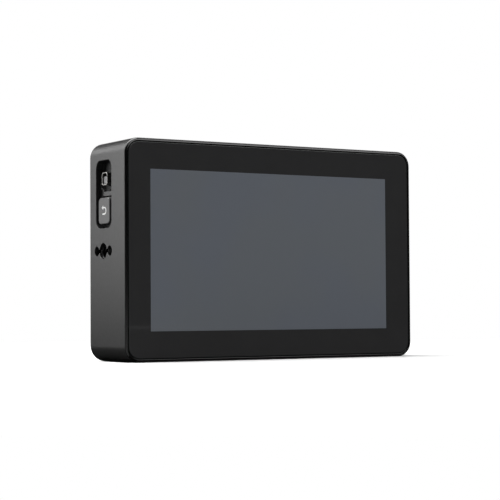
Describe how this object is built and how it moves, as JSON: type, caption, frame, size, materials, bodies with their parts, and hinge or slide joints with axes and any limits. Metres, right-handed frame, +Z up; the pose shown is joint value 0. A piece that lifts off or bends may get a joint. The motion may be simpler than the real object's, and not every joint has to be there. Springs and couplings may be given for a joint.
{
  "type": "camera field monitor",
  "caption": "Slim five-inch touch monitor that mounts on a camera: glass front, metal body, tapped side mounts, sprung keys and a rear battery bay with a latch.",
  "frame": {"origin": "under the middle of the body, on the surface it stands on", "axes": "+X to the viewer's right, +Y from the glass to the back, +Z up"},
  "size_m": [0.1344, 0.031, 0.086],
  "materials": {
    "anodised_black": "fine bead-blasted black anodising",
    "cover_glass": "polished, with a black printed border",
    "screen_off": "display switched off, semi-gloss grey",
    "clear_film": "clear film and sheet",
    "black_rubber": "matte",
    "sheet_steel": "zinc-plated sheet",
    "bare_aluminium": "milled",
    "screw_steel": "zinc plated",
    "screw_black": "black oxide",
    "circuit_board": "green solder mask",
    "chip_black": "moulded epoxy",
    "thermal_grey": "soft pad",
    "plug_ivory": "moulded nylon",
    "flex_amber": "polyimide film",
    "moulded_black": "fine spark texture",
    "nickel": "nickel-plated",
    "insert_steel": "blackened stainless",
    "light_pipe": "clear, frosted inside",
    "contact_gold": "gold flash",
    "lead_red": "silicone insulation",
    "spring_steel": "drawn wire"
  },
  "bodies": {
    "monitor": {"housing": "anodised_black", "cover_glass": "cover_glass", "glass_bond": "black_rubber", "touch_sensor": "clear_film", "display_panel": "screen_off", "light_guide": "clear_film", "led_strip": "plug_ivory", "backlight_tray": "sheet_steel", "chassis_plate": "bare_aluminium", "chassis_screws": "screw_steel", "main_board": "circuit_board", "board_screws": "screw_steel", "processor": "chip_black", "memory_chips": "chip_black", "power_chips": "chip_black", "thermal_pad": "thermal_grey", "heat_spreader": "bare_aluminium", "board_sockets": "plug_ivory", "display_flex": "flex_amber", "touch_flex": "flex_amber", "key_flex": "flex_amber", "side_key_board": "circuit_board", "side_board_screws": "screw_steel", "side_switch": "moulded_black", "side_key_pad": "black_rubber", "side_socket_shell": "nickel", "side_socket_core": "moulded_black", "thread_inserts": "insert_steel", "video_socket_shells": "nickel", "video_socket_cores": "moulded_black", "headphone_jack": "moulded_black", "power_inlet": "moulded_black", "power_inlet_pin": "nickel", "card_slot": "nickel", "power_switch": "moulded_black", "status_light": "light_pipe", "back_cover": "anodised_black", "cover_screws": "screw_black", "battery_plate": "moulded_black", "plate_screws": "screw_black", "battery_contacts": "contact_gold", "battery_lead": "lead_red", "latch_spring": "spring_steel"},
    "side_key": {"side_key": "anodised_black"},
    "power_key": {"power_key": "anodised_black"},
    "battery_latch": {"battery_latch": "moulded_black"}
  },
  "joints": [
    {"name": "side_key_press", "type": "slide", "parent": "monitor", "child": "side_key", "axis": [1, 0, 0], "range_m": [0, 0.0005], "stiffness_N_per_m": 2500, "deforming": ["side_key_pad"]},
    {"name": "power_key_press", "type": "slide", "parent": "monitor", "child": "power_key", "axis": [0, 0, -1], "range_m": [0, 0.0004], "stiffness_N_per_m": 2500},
    {"name": "battery_latch_press", "type": "slide", "parent": "monitor", "child": "battery_latch", "axis": [0, -1, 0], "range_m": [0, 0.0036], "stiffness_N_per_m": 600, "deforming": ["latch_spring"]}
  ]
}
